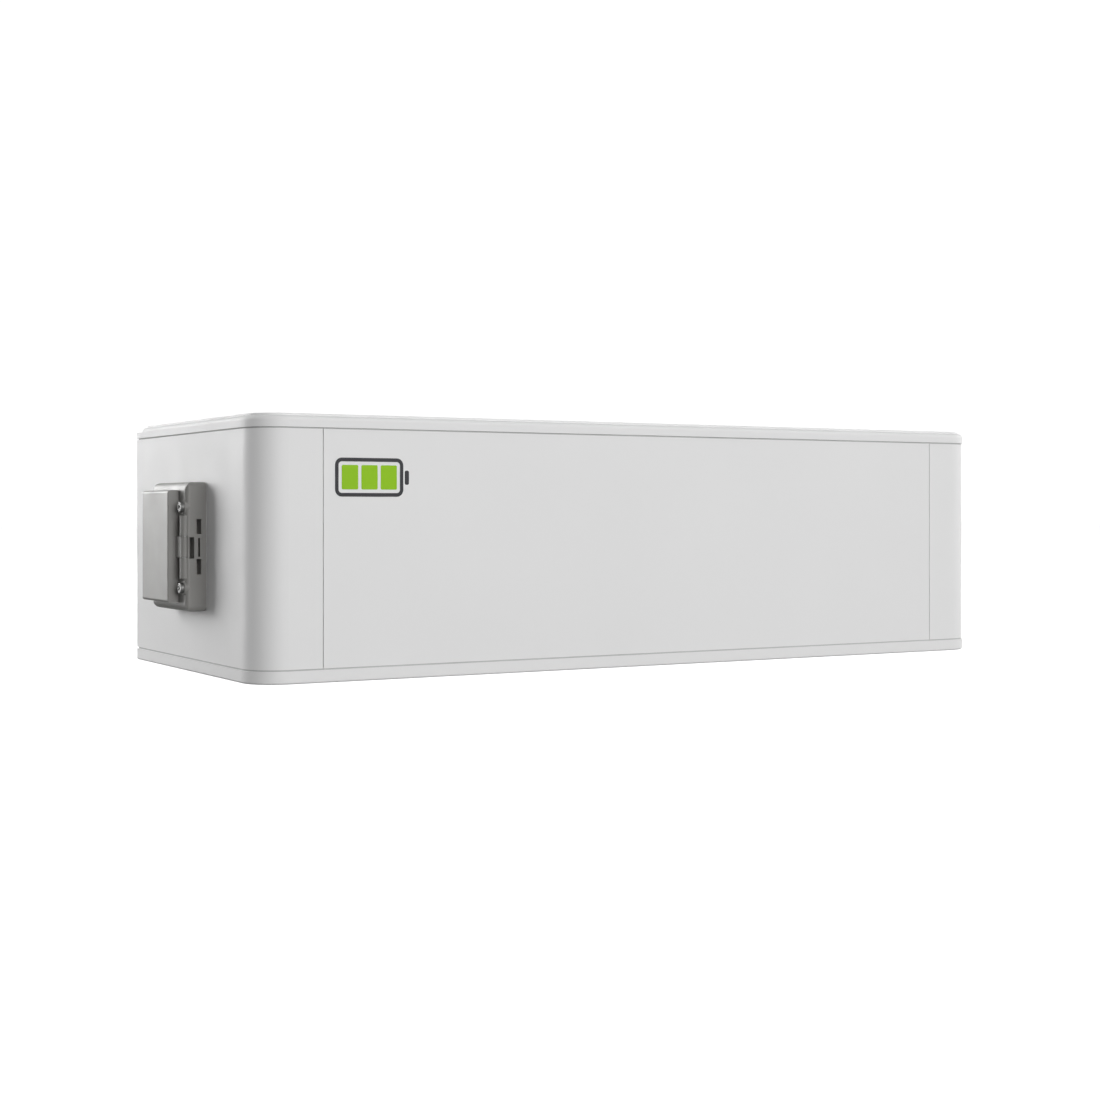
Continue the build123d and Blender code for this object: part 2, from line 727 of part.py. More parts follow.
def make_bms_board():
    """The management board with its power studs, shunt, chips, capacitors and socket."""
    stud_radius = 7.0
    stud_y = SINK_BACK - POWER_STUD_SETBACK
    board = slab(SINK_LEFT, SINK_RIGHT, SINK_FRONT, SINK_BACK, BOARD_Z, BOARD_TOP)
    for x, y in standoff_points():
        board -= rod_z(x, y, BOARD_Z, BOARD_TOP, M3_CLEARANCE)
    solids = [board]
    for offset in POWER_STUD_X:
        x = SINK_LEFT + offset
        solids.append(rod_z(x, stud_y, BOARD_TOP, BOARD_TOP + POWER_STUD_HEIGHT, stud_radius))
    shunt_x = SINK_LEFT + 40.0
    shunt_top = BOARD_TOP + 2.0
    solids.append(slab(shunt_x, shunt_x + 50.0, stud_y - 6.0, stud_y + 6.0, BOARD_TOP, shunt_top))
    for step in range(4):
        x = SINK_LEFT + 24.0 + step * 14.0
        solids.append(rod_z(x, SINK_FRONT + 18.0, BOARD_TOP, BOARD_TOP + 16.0, 5.0))
    chip_y = SINK_FRONT + 42.0
    chip_top = BOARD_TOP + 1.4
    for offset, half in ((30.0, 7.0), (60.0, 5.0), (88.0, 6.0)):
        x = SINK_LEFT + offset
        solids.append(slab(x - half, x + half, chip_y - half, chip_y + half, BOARD_TOP, chip_top))
    socket_x = SINK_LEFT + 90.0
    socket_y = SINK_FRONT + 14.0
    socket_top = BOARD_TOP + BOARD_SOCKET
    solids.append(slab(socket_x, socket_x + 32.0, socket_y, socket_y + 10.0, BOARD_TOP, socket_top))
    return Compound(children=solids)


def small_screw(seat, direction):
    """An M3 screw; the head rests against seat and direction is the way that the shank points."""
    shank = Plane(origin=seat, z_dir=direction) * extrude(Circle(M3_RADIUS), amount=M3_LENGTH)
    back = tuple(-part for part in direction)
    head = Plane(origin=seat, z_dir=back) * extrude(Circle(M3_HEAD_RADIUS), amount=M3_HEAD_HEIGHT)
    return shank + head


def make_m3_screws():
    """The identical small screws of the management board and of the socket plate."""
    screws = [small_screw((x, y, BOARD_TOP), (0, 0, -1)) for x, y in standoff_points()]
    screws += [small_screw((PLATE_INNER, y, z), (-1, 0, 0)) for y, z in inner_screw_points()]
    return Compound(children=screws)


# Fuse and leads

def make_fuse_holder():
    """An insulating block with a raised seat at each end."""
    seat_z = FUSE_Z - 3.0
    overhang = 8.0
    seat_reach = 10.0
    left = FUSE_LEFT - overhang
    right = FUSE_RIGHT + overhang
    seat_front = FUSE_Y - 12.0
    seat_back = FUSE_Y + 8.0
    block = slab(left, right, FUSE_Y - 14.0, FUSE_Y + 9.0, FLOOR, seat_z)
    block += slab(left, FUSE_LEFT + seat_reach, seat_front, seat_back, seat_z, FUSE_Z)
    block += slab(FUSE_RIGHT - seat_reach, right, seat_front, seat_back, seat_z, FUSE_Z)
    return block


def make_main_fuse():
    """A bolt-down fuse: a ceramic barrel, its two caps, two blades and their studs."""
    barrel_z = FUSE_Z + 11.0
    barrel_radius = 10.0
    cap_radius = 11.0
    cap_outer = 10.0
    cap_inner = 16.0
    blade_y = FUSE_Y - 3.0
    blade_half = 8.0
    blade_top = FUSE_Z + BLADE
    barrel = rod_x(FUSE_LEFT + cap_inner, FUSE_RIGHT - cap_inner, blade_y, barrel_z, barrel_radius)
    solids = [barrel]
    for end, inward in ((FUSE_LEFT, 1), (FUSE_RIGHT, -1)):
        c0 = end + inward * cap_outer
        c1 = end + inward * cap_inner
        solids.append(rod_x(c0, c1, blade_y, barrel_z, cap_radius))
        tip = end - inward * 6.0
        solids.append(slab(tip, c0, blade_y - blade_half, blade_y + blade_half, FUSE_Z, blade_top))
        solids.append(rod_z(end, blade_y, blade_top, blade_top + 9.0, 3.0))
    return Compound(children=solids)


def lead(points, radii, radius):
    """A round lead along straight runs joined by tangent arcs."""
    path = FilletPolyline(*points, radius=radii)
    start = Plane(origin=path @ 0, z_dir=path % 0)
    return sweep(start * Circle(radius), path=path)


def make_positive_leads():
    """Pack to fuse along the back of the pack, and fuse to the upper socket."""
    start_x = cell_middle(CELL_COUNT - 1)
    top = BUSBAR_TOP + LEAD_RADIUS
    fuse_top = FUSE_Z + BLADE + LEAD_RADIUS
    blade_y = FUSE_Y - 3.0
    clip = 3.5
    back_y = 104.0
    run_z = 70.0
    pack_to_fuse = [
        (start_x, 58.0, top),
        (start_x, back_y, top),
        (start_x, back_y, run_z),
        (-120.0, back_y, run_z),
        (-150.0, back_y - 3.0, fuse_top),
        (FUSE_RIGHT + clip, blade_y, fuse_top),
    ]
    riser_x = FUSE_LEFT - 28.0
    socket_z = SOCKET_Z[1]
    fuse_to_socket = [
        (FUSE_LEFT - clip, blade_y, fuse_top),
        (riser_x, blade_y, fuse_top),
        (riser_x, blade_y, socket_z),
        (riser_x, SOCKET_Y, socket_z),
        (SOCKET_END, SOCKET_Y, socket_z),
    ]
    first = lead(pack_to_fuse, [22.0, 30.0, 24.0, 20.0], LEAD_RADIUS)
    second = lead(fuse_to_socket, [18.0, 32.0, 18.0], LEAD_RADIUS)
    return Compound(children=[first, second])


def make_negative_leads():
    """Pack to management board, and management board to the lower socket."""
    start_x = cell_middle(0)
    start_y = 70.0
    top = BUSBAR_TOP + LEAD_RADIUS
    stud_y = SINK_BACK - POWER_STUD_SETBACK
    stud_top = BOARD_TOP + POWER_STUD_HEIGHT
    left_x = SINK_LEFT + POWER_STUD_X[0]
    right_x = SINK_LEFT + POWER_STUD_X[1]
    pack_to_board = [
        (start_x, start_y, top),
        (-178.0, start_y, top),
        (right_x, 54.0, 110.0),
        (right_x, stud_y, 76.0),
        (right_x, stud_y, stud_top),
    ]
    board_to_socket = [
        (left_x, stud_y, stud_top),
        (left_x, SOCKET_Y, SOCKET_Z[0]),
        (SOCKET_END, SOCKET_Y, SOCKET_Z[0]),
    ]
    first = lead(pack_to_board, [22.0, 22.0, 24.0], LEAD_RADIUS)
    second = lead(board_to_socket, [28.0], LEAD_RADIUS)
    return Compound(children=[first, second])


def make_signal_harness():
    """Sense board to management board, and management board to port board."""
    connector_x = SINK_LEFT + 106.0
    connector_y = SINK_FRONT + 19.0
    sense_z = TERMINAL_TOP + 5.6
    port_x = SINK_LEFT + 9.0
    port_y = SINK_FRONT + 54.0
    port_z = 86.0
    sense = [
        (CELL_LEFT + 6.0, 0.0, sense_z),
        (-182.0, 0.0, sense_z),
        (connector_x, -62.0, 110.0),
        (connector_x, connector_y, 70.0),
        (connector_x, connector_y, BOARD_TOP + BOARD_SOCKET),
    ]
    port = [
        (port_x, port_y, BOARD_TOP),
        (port_x, port_y, 58.0),
        (-284.0, -15.0, 84.0),
        (-283.0, JACK_Y, port_z),
        (PORT_BOARD_X + BOARD, JACK_Y, port_z),
    ]
    first = lead(sense, [16.0, 24.0, 20.0], HARNESS_RADIUS)
    second = lead(port, [14.0, 16.0, 12.0], HARNESS_RADIUS)
    return Compound(children=[first, second])


# Port

def port_window():
    """The opening in the wall behind the port, as Y and Z limits."""
    lip = 1.0
    return (WELL[0] + lip, WELL[1] - lip, WELL[2] + lip, WELL[3] - lip)


def inner_screw_points():
    """The places of the four screws that clamp the socket plate, the wall and the port base."""
    return [(y, z) for y in INNER_SCREW_Y for z in INNER_SCREW_Z]


def make_port_block():
    """The base's outer shape: a block rounded as seen from the wall, the side and above."""
    ends = (PORT_FRONT, PORT_BACK, PORT_BOTTOM, PORT_TOP)
    deep = PORT_FOOT + 2 * PORT_DEPTH
    seen_from_wall = slab(PORT_FACE, PORT_FOOT, *ends)
    seen_from_wall = soften(seen_from_wall, Axis.X, Axis.Y, PORT_CORNER_FRONT, PORT_CORNER_BACK)
    seen_from_front = slab(PORT_FACE, deep, *ends)
    radius = PORT_LEVEL_RADIUS
    seen_from_front = soften(seen_from_front, Axis.Y, Axis.Z, radius, radius)
    seen_from_above = slab(PORT_FACE, deep, *ends)
    seen_from_above = soften(
        seen_from_above, Axis.Z, Axis.Y, PORT_FRONT_RADIUS, PORT_BACK_RADIUS
    )
    return seen_from_wall & seen_from_front & seen_from_above


def make_port_base():
    """The collar on the wall: screw seats, outer knuckles, open well and the front pockets."""
    thread_floor = 4.0
    base = make_port_block()
    for z in PORT_SCREW_Z:
        base += rod_x(SCREW_SEAT, PORT_FACE + PORT_FRONT_RADIUS, PORT_SCREW_Y, z, BOSS_RADIUS)
        base -= rod_x(SCREW_SEAT, PORT_FOOT, PORT_SCREW_Y, z, CLEARANCE_RADIUS)
    base -= slab(PORT_FACE, PORT_FOOT, *WELL)
    notch_bottom = COVER_KNUCKLE_BOTTOM - HINGE_GAP
    notch_top = COVER_KNUCKLE_TOP + HINGE_GAP
    for z0, z1 in ((HINGE_BOTTOM, notch_bottom), (notch_top, HINGE_TOP)):
        base += rod_z(HINGE_X, HINGE_Y, z0, z1, KNUCKLE_RADIUS)
    base -= rod_z(HINGE_X, HINGE_Y, HINGE_BOTTOM, HINGE_TOP, PIN_RADIUS)
    base -= rod_z(HINGE_X, HINGE_Y, notch_bottom, notch_top, NOTCH_RADIUS)
    shelf = PORT_FACE + NOTCH_SHELF
    base -= slab(PORT_FACE, shelf, PORT_FRONT, HINGE_Y, notch_bottom, notch_top)
    for y, z in inner_screw_points():
        base -= rod_x(PORT_FACE + thread_floor, PORT_FOOT, y, z, M3_RADIUS)
    for near, far, z0, z1 in SIDE_POCKETS:
        pocket_back = PORT_FRONT + POCKET_DEPTH
        base -= slab(WALL_X - far, WALL_X - near, PORT_FRONT, pocket_back, z0, z1)
    return base


def make_port_gasket():
    """The flat gasket between the base and the wall."""
    inset = 1.0
    corner_radius = 3.0
    ends = (PORT_FRONT + inset, PORT_BACK - inset, PORT_BOTTOM + inset, PORT_TOP - inset)
    gasket = slab(PORT_FOOT, WALL_X, *ends)
    gasket = fillet(gasket.edges().filter_by(Axis.X), corner_radius)
    gasket -= slab(PORT_FOOT, WALL_X, *WELL)
    for z in PORT_SCREW_Z:
        gasket -= rod_x(PORT_FOOT, WALL_X, PORT_SCREW_Y, z, CLEARANCE_RADIUS)
    for y, z in inner_screw_points():
        gasket -= rod_x(PORT_FOOT, WALL_X, y, z, M3_CLEARANCE)
    return gasket


def make_port_cover():
    """The hinged cover: a shallow box, open towards the well, with an arm and its knuckle."""
    outer = WALL_X - COVER_HEIGHT
    ends = (COVER_FRONT, COVER_BACK, COVER_BOTTOM, COVER_TOP)
    deep = COVER_INNER + COVER_HEIGHT
    shell = slab(outer, COVER_INNER, *ends)
    radius = COVER_LEVEL_RADIUS
    shell &= soften(slab(outer, deep, *ends), Axis.Y, Axis.Z, radius, radius)
    radius = COVER_SIDE_RADIUS
    shell &= soften(slab(outer, deep, *ends), Axis.Z, Axis.Y, radius, radius)
    shell -= slab(
        outer + COVER_WALL,
        COVER_INNER,
        COVER_FRONT + COVER_WALL,
        COVER_BACK - COVER_WALL,
        COVER_BOTTOM + COVER_WALL,
        COVER_TOP - COVER_WALL,
    )
    low = COVER_KNUCKLE_BOTTOM
    high = COVER_KNUCKLE_TOP
    arm_end = COVER_FRONT + COVER_WALL / 2
    cover = shell + slab(COVER_INNER - ARM_THICKNESS, COVER_INNER, HINGE_Y, arm_end, low, high)
    cover += rod_z(HINGE_X, HINGE_Y, low, high, COVER_KNUCKLE_RADIUS)
    cover -= rod_z(HINGE_X, HINGE_Y, low, high, PIN_RADIUS + PIN_CLEARANCE)
    return cover


def make_hinge_pin():
    """The pin through all three knuckles."""
    return rod_z(HINGE_X, HINGE_Y, HINGE_BOTTOM, HINGE_TOP, PIN_RADIUS)


def make_port_screws():
    """The two cap screws that hold the base's hinge side to the wall."""
    edge_radius = 0.5
    hexagon_radius = 1.9
    hexagon_depth = 1.8
    reach = 5.0
    top_x = SCREW_SEAT - PORT_HEAD_HEIGHT
    screws = []
    for z in PORT_SCREW_Z:
        head = rod_x(top_x, SCREW_SEAT, PORT_SCREW_Y, z, PORT_HEAD_RADIUS)
        head = fillet(edges_at(head, Axis.X, top_x), edge_radius)
        face = Plane(origin=(top_x, PORT_SCREW_Y, z), z_dir=(1, 0, 0))
        head -= extrude(face * RegularPolygon(hexagon_radius, 6), amount=hexagon_depth)
        shank = rod_x(SCREW_SEAT, WALL_INSIDE + reach, PORT_SCREW_Y, z, SCREW_RADIUS)
        screws.append(head + shank)
    return Compound(children=screws)


def make_socket_plate():
    """The insulating plate inside the wall that carries the sockets, button, vent and stud."""
    front = WELL[0] - 5.0
    back = WELL[1] + 4.0
    margin = 11.0
    play = 0.3
    jack_front = JACK_Y - JACK_HALF_WIDTH
    jack_back = JACK_Y + JACK_HALF_WIDTH
    plate = slab(WALL_INSIDE, PLATE_INNER, front, back, WELL[2] - margin, WELL[3] + margin)
    for z in SOCKET_Z:
        plate -= rod_x(WALL_INSIDE, PLATE_INNER, SOCKET_Y, z, SOCKET_RADIUS - SHEET)
    for z in JACK_Z:
        bottom = z - JACK_HALF_HEIGHT
        top = z + JACK_HALF_HEIGHT
        plate -= slab(WALL_INSIDE, PLATE_INNER, jack_front, jack_back, bottom, top)
    plate -= rod_x(WALL_INSIDE, PLATE_INNER, JACK_Y, BUTTON_Z, BUTTON_RADIUS + play)
    plate -= rod_x(WALL_INSIDE, PLATE_INNER, JACK_Y, VENT_Z, VENT_RADIUS)
    plate -= rod_x(WALL_INSIDE, PLATE_INNER, SOCKET_Y, STUD_Z, STUD_RADIUS)
    for y, z in inner_screw_points():
        plate -= rod_x(WALL_INSIDE, PLATE_INNER, y, z, M3_CLEARANCE)
    return plate


def make_power_sockets():
    """Two touch-proof sockets, each with a flange outside the plate and a nut inside it."""
    flange = 2.5
    flange_radius = 9.5
    nut = 3.0
    nut_radius = 8.5
    front = WALL_X - SOCKET_OUT
    sockets = []
    for z in SOCKET_Z:
        socket = rod_x(WALL_INSIDE - flange, WALL_INSIDE, SOCKET_Y, z, flange_radius)
        socket += rod_x(front, WALL_INSIDE, SOCKET_Y, z, SOCKET_RADIUS)
        socket += rod_x(WALL_INSIDE, SOCKET_END, SOCKET_Y, z, SOCKET_RADIUS - SHEET)
        socket += rod_x(PLATE_INNER, PLATE_INNER + nut, SOCKET_Y, z, nut_radius)
        socket -= rod_x(front, front + SOCKET_DEPTH, SOCKET_Y, z, SOCKET_BORE)
        sockets.append(socket)
    return Compound(children=sockets)


def make_port_board():
    """The small board behind the plate with two data jacks and the switch under the button."""
    half = 10.0
    wall = 2.0
    key_half = 3.0
    key_drop = 5.5
    mouth_low = 3.5
    mouth_high = 5.0
    front = WALL_X - JACK_OUT
    board = slab(PORT_BOARD_X, PORT_BOARD_X + BOARD, JACK_Y - half, JACK_Y + half, 73.0, 121.0)
    solids = [board]
    for z in JACK_Z:
        side = JACK_HALF_WIDTH
        jack = slab(front, PORT_BOARD_X, JACK_Y - side, JACK_Y + side, z - 7.0, z + 7.0)
        side = JACK_HALF_WIDTH - wall
        floor = front + JACK_DEPTH
        jack -= slab(front, floor, JACK_Y - side, JACK_Y + side, z - mouth_low, z + mouth_high)
        side = key_half
        jack -= slab(front, floor, JACK_Y - side, JACK_Y + side, z - key_drop, z - mouth_low)
        solids.append(jack)
    side = 3.0
    switch_x = PORT_BOARD_X - SWITCH
    solids.append(
        slab(switch_x, PORT_BOARD_X, JACK_Y - side, JACK_Y + side, BUTTON_Z - side, BUTTON_Z + side)
    )
    return Compound(children=solids)


def make_wake_button():
    """A push button: cap, retaining flange behind the plate and a stem towards the switch."""
    edge_radius = 0.6
    flange = 1.0
    flange_radius = 5.6
    stem_radius = 1.8
    cap_x = WALL_X - BUTTON_OUT
    flange_x = PLATE_INNER + BUTTON_PLAY
    stem_x = flange_x + flange
    stem_end = PORT_BOARD_X - SWITCH - BUTTON_TRAVEL - BUTTON_PLAY
    cap = rod_x(cap_x, flange_x, JACK_Y, BUTTON_Z, BUTTON_RADIUS)
    cap = fillet(edges_at(cap, Axis.X, cap_x), edge_radius)
    cap += rod_x(flange_x, stem_x, JACK_Y, BUTTON_Z, flange_radius)
    cap += rod_x(stem_x, stem_end, JACK_Y, BUTTON_Z, stem_radius)
    return cap


def make_pressure_vent():
    """The pressure vent: a flanged plug through the plate, with its nut behind."""
    vent = rod_x(WALL_INSIDE, PLATE_INNER + 3.0, JACK_Y, VENT_Z, VENT_RADIUS)
    vent += rod_x(WALL_INSIDE - 2.4, WALL_INSIDE, JACK_Y, VENT_Z, 5.2)
    vent += rod_x(PLATE_INNER, PLATE_INNER + 2.0, JACK_Y, VENT_Z, 5.4)
    return vent


def make_earth_stud():
    """A threaded earth stud with its nut."""
    nut_x = WALL_X - 5.0
    nut_corner_radius = 4.2
    tip = WALL_X - STUD_OUT
    stud = rod_x(tip, PLATE_INNER + 4.0, SOCKET_Y, STUD_Z, STUD_RADIUS)
    stud += rod_x(PLATE_INNER, PLATE_INNER + 3.0, SOCKET_Y, STUD_Z, 4.5)
    face = Plane(origin=(nut_x, SOCKET_Y, STUD_Z), z_dir=(1, 0, 0))
    nut = extrude(face * RegularPolygon(nut_corner_radius, 6), amount=WALL_INSIDE - nut_x)
    nut -= rod_x(tip, PLATE_INNER, SOCKET_Y, STUD_Z, STUD_RADIUS)
    return Compound(children=[stud, nut])


def make_tray_gasket():
    """The gasket between the tray and the body."""
    return make_ring(TRAY_TOP)


def make_lid_gasket():
    """The gasket between the body and the lid."""
    return make_ring(BODY_TOP)


NODES = {
    "bottom_tray": make_bottom_tray,
    "top_lid": make_top_lid,
    "tray_gasket": make_tray_gasket,
    "lid_gasket": make_lid_gasket,
    "left_side_panel": make_left_side_panel,
    "right_side_panel": make_right_side_panel,
    "front_panel": make_front_panel,
    "front_panel_seals": make_front_panel_seals,
    "front_panel_nuts": make_front_panel_nuts,
    "rear_panel": make_rear_panel,
    "wall_inserts": make_wall_inserts,
    "case_screws": make_case_screws,
    "cell_spacers": make_cell_spacers,
    "cell_base_pad": make_cell_base_pad,
    "left_end_plate": make_left_end_plate,
    "right_end_plate": make_right_end_plate,
    "front_side_strap": make_front_side_strap,
    "rear_side_strap": make_rear_side_strap,
    "strap_screws": make_strap_screws,
    "pack_bolts": make_pack_bolts,
    "busbar_holder": make_busbar_holder,
    "busbars": make_busbars,
    "sense_board": make_sense_board,
    "bms_heat_sink": make_bms_heat_sink,
    "bms_mosfets": make_bms_mosfets,
    "bms_standoffs": make_bms_standoffs,
    "bms_board": make_bms_board,
    "m3_screws": make_m3_screws,
    "fuse_holder": make_fuse_holder,
    "main_fuse": make_main_fuse,
    "positive_leads": make_positive_leads,
    "negative_leads": make_negative_leads,
    "signal_harness": make_signal_harness,
    "port_base": make_port_base,
    "port_gasket": make_port_gasket,
    "port_cover": make_port_cover,
    "hinge_pin": make_hinge_pin,
    "port_screws": make_port_screws,
    "socket_plate": make_socket_plate,
    "power_sockets": make_power_sockets,
    "port_board": make_port_board,
    "wake_button": make_wake_button,
    "pressure_vent": make_pressure_vent,
    "earth_stud": make_earth_stud,
}


def main():
    os.makedirs("parts", exist_ok=True)
    for name, make in NODES.items():
        export_step(make(), f"parts/{name}.step")
    for index in range(CELL_COUNT):
        export_step(make_cell(index), f"parts/cell_{index + 1:02d}.step")


main()
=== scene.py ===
"""Looks of the wall battery unit: its finishes, printed mark, small details, studio and camera."""
import json
import math

import bmesh
import bpy
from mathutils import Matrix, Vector


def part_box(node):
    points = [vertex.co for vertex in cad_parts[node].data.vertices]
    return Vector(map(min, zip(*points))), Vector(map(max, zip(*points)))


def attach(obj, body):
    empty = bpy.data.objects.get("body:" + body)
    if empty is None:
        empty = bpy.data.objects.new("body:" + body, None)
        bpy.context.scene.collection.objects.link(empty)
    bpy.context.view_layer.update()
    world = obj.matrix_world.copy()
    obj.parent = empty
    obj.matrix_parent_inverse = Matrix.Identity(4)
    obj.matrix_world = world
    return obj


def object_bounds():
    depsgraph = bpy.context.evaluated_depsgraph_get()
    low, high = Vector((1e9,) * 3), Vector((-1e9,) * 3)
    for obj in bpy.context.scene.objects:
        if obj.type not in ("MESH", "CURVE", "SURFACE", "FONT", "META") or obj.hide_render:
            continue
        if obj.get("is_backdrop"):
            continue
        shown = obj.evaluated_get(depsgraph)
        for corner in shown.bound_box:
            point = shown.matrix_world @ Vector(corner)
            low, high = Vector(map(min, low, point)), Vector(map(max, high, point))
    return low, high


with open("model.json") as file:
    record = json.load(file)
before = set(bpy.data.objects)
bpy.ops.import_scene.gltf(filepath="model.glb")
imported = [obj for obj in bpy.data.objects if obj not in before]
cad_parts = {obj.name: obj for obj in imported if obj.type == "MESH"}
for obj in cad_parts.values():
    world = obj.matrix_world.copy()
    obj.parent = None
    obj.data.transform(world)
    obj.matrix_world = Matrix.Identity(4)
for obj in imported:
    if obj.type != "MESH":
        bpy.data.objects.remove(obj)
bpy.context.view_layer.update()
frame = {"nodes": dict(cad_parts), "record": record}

MM = 0.001
EVEN = (1.0, 1.0, 1.0)

# Linear colours of the finishes
WHITE_PAINT = (0.80, 0.80, 0.80)
# Painted edge highlight of the white paint, lighter than the paint itself
PAINT_EDGE_HIGHLIGHT = (0.86, 0.86, 0.86)
SEAM_GREY = (0.50, 0.50, 0.50)
WARM_GREY = (0.265, 0.260, 0.249)
# Painted edge highlight of the grey plastic
GREY_EDGE_HIGHLIGHT = (0.40, 0.395, 0.38)
BLACK = (0.012, 0.012, 0.012)
# Painted edge highlight of the black plastic
BLACK_EDGE_HIGHLIGHT = (0.04, 0.04, 0.04)
ZINC = (0.55, 0.56, 0.58)
SCREW_STEEL = (0.25, 0.25, 0.245)
# Painted highlight: the bright rim laid along the edges of the dark screw heads
STEEL_EDGE_HIGHLIGHT = (0.80, 0.80, 0.79)
BRIGHT_ALUMINIUM = (0.72, 0.73, 0.74)
COPPER = (0.80, 0.42, 0.26)
GOLD = (0.85, 0.62, 0.25)
WRAP_BLUE = (0.03, 0.09, 0.32)
BOARD_GREEN = (0.01, 0.10, 0.03)
CERAMIC = (0.80, 0.77, 0.68)
LEAD_RED = (0.42, 0.02, 0.015)
SHEET_CREAM = (0.74, 0.73, 0.66)
BUTTON_GREEN = (0.03, 0.26, 0.05)
# Painted edge highlight of the green button
GREEN_EDGE_HIGHLIGHT = (0.08, 0.40, 0.12)
MARK_GREEN = (0.29, 0.57, 0.01)
MARK_GREY = (0.05, 0.05, 0.055)
FLOOR_WHITE = (0.90, 0.90, 0.90)


# Materials

def new_material(name):
    """A material with its node list, its links and its shader."""
    material = bpy.data.materials.new(name)
    material.use_nodes = True
    nodes = material.node_tree.nodes
    return material, nodes, material.node_tree.links, nodes["Principled BSDF"]


def noise(nodes, links, scale, detail, stretch=EVEN):
    """A noise texture whose scale is in features per metre."""
    place = nodes.new("ShaderNodeTexCoord")
    mapping = nodes.new("ShaderNodeMapping")
    mapping.inputs["Scale"].default_value = stretch
    texture = nodes.new("ShaderNodeTexNoise")
    texture.inputs["Scale"].default_value = scale
    texture.inputs["Detail"].default_value = detail
    links.new(place.outputs["Object"], mapping.inputs["Vector"])
    links.new(mapping.outputs["Vector"], texture.inputs["Vector"])
    return texture.outputs["Fac"]


def remap(nodes, links, source, from_range, to_range):
    """Maps a value from one range to another, with its ends held."""
    node = nodes.new("ShaderNodeMapRange")
    node.inputs["From Min"].default_value, node.inputs["From Max"].default_value = from_range
    node.inputs["To Min"].default_value, node.inputs["To Max"].default_value = to_range
    links.new(source, node.inputs["Value"])
    return node.outputs["Result"]


def spread(nodes, links, source, low, high):
    """Maps a noise value to a range of numbers."""
    return remap(nodes, links, source, (0.3, 0.7), (low, high))


def multiply(nodes, links, first, second):
    """The product of two values."""
    node = nodes.new("ShaderNodeMath")
    node.operation = "MULTIPLY"
    links.new(first, node.inputs[0])
    links.new(second, node.inputs[1])
    return node.outputs["Value"]


def mix_colour(nodes, links, factor, first, second):
    """A colour between first, a colour or a link, and the colour second."""
    node = nodes.new("ShaderNodeMix")
    node.data_type = "RGBA"
    if isinstance(first, tuple):
        node.inputs["A"].default_value = (*first, 1.0)
    else:
        links.new(first, node.inputs["A"])
    node.inputs["B"].default_value = (*second, 1.0)
    links.new(factor, node.inputs["Factor"])
    return node.outputs["Result"]


def add_bump(nodes, links, shader, height, depth):
    """Bumps the shader's surface by a height value, depth in millimetres."""
    bump = nodes.new("ShaderNodeBump")
    bump.inputs["Strength"].default_value = 0.35
    bump.inputs["Distance"].default_value = depth * MM
    links.new(height, bump.inputs["Height"])
    links.new(bump.outputs["Normal"], shader.inputs["Normal"])


def edge_mask(nodes, links, width):
    """One along sharp edges and zero elsewhere, from how far a bevelled normal turns."""
    bevel = nodes.new("ShaderNodeBevel")
    bevel.samples = 4
    bevel.inputs["Radius"].default_value = width * MM
    geometry = nodes.new("ShaderNodeNewGeometry")
    product = nodes.new("ShaderNodeVectorMath")
    product.operation = "DOT_PRODUCT"
    links.new(bevel.outputs["Normal"], product.inputs[0])
    links.new(geometry.outputs["Normal"], product.inputs[1])
    flat, sharp = 0.995, 0.86
    return remap(nodes, links, product.outputs["Value"], (flat, sharp), (0.0, 1.0))


def scaled(colour, factor):
    """A colour made lighter or darker."""
    return tuple(min(1.0, part * factor) for part in colour)


def surface(name, colour, roughness, metallic=0.0, grain=900.0, depth=0.03, vary=0.06,
            edge=None, edge_width=0.5, stretch=EVEN, coat=0.0, specular=0.5):
    """A finish with cloudy colour variation, uneven roughness, fine grain and a painted highlight:
    a lighter colour laid in patches along its sharp edges.
    """
    material, nodes, links, shader = new_material(name)
    tint = spread(nodes, links, noise(nodes, links, 9.0, 4.0), 0.0, 1.0)
    base = mix_colour(nodes, links, tint, scaled(colour, 1 - vary), scaled(colour, 1 + vary / 2))
    speckle = spread(nodes, links, noise(nodes, links, grain, 2.0, stretch), 0.0, 0.35)
    base = mix_colour(nodes, links, speckle, base, scaled(colour, 1 - vary))
    # Painted edge highlight: the colour edge is laid in patches along sharp edges, so that they
    # look as if they catch the light.
    if edge is not None:
        patch = spread(nodes, links, noise(nodes, links, 60.0, 3.0), 0.1, 0.9)
        painted_edge_highlight = multiply(nodes, links, edge_mask(nodes, links, edge_width), patch)
        base = mix_colour(nodes, links, painted_edge_highlight, base, edge)
    links.new(base, shader.inputs["Base Color"])
    patches = noise(nodes, links, 40.0, 3.0, stretch)
    uneven = spread(nodes, links, patches, roughness - 0.05, roughness + 0.05)
    links.new(uneven, shader.inputs["Roughness"])
    add_bump(nodes, links, shader, noise(nodes, links, grain, 2.0, stretch), depth)
    shader.inputs["Metallic"].default_value = metallic
    shader.inputs["Coat Weight"].default_value = coat
    shader.inputs["Specular IOR Level"].default_value = specular
    return material


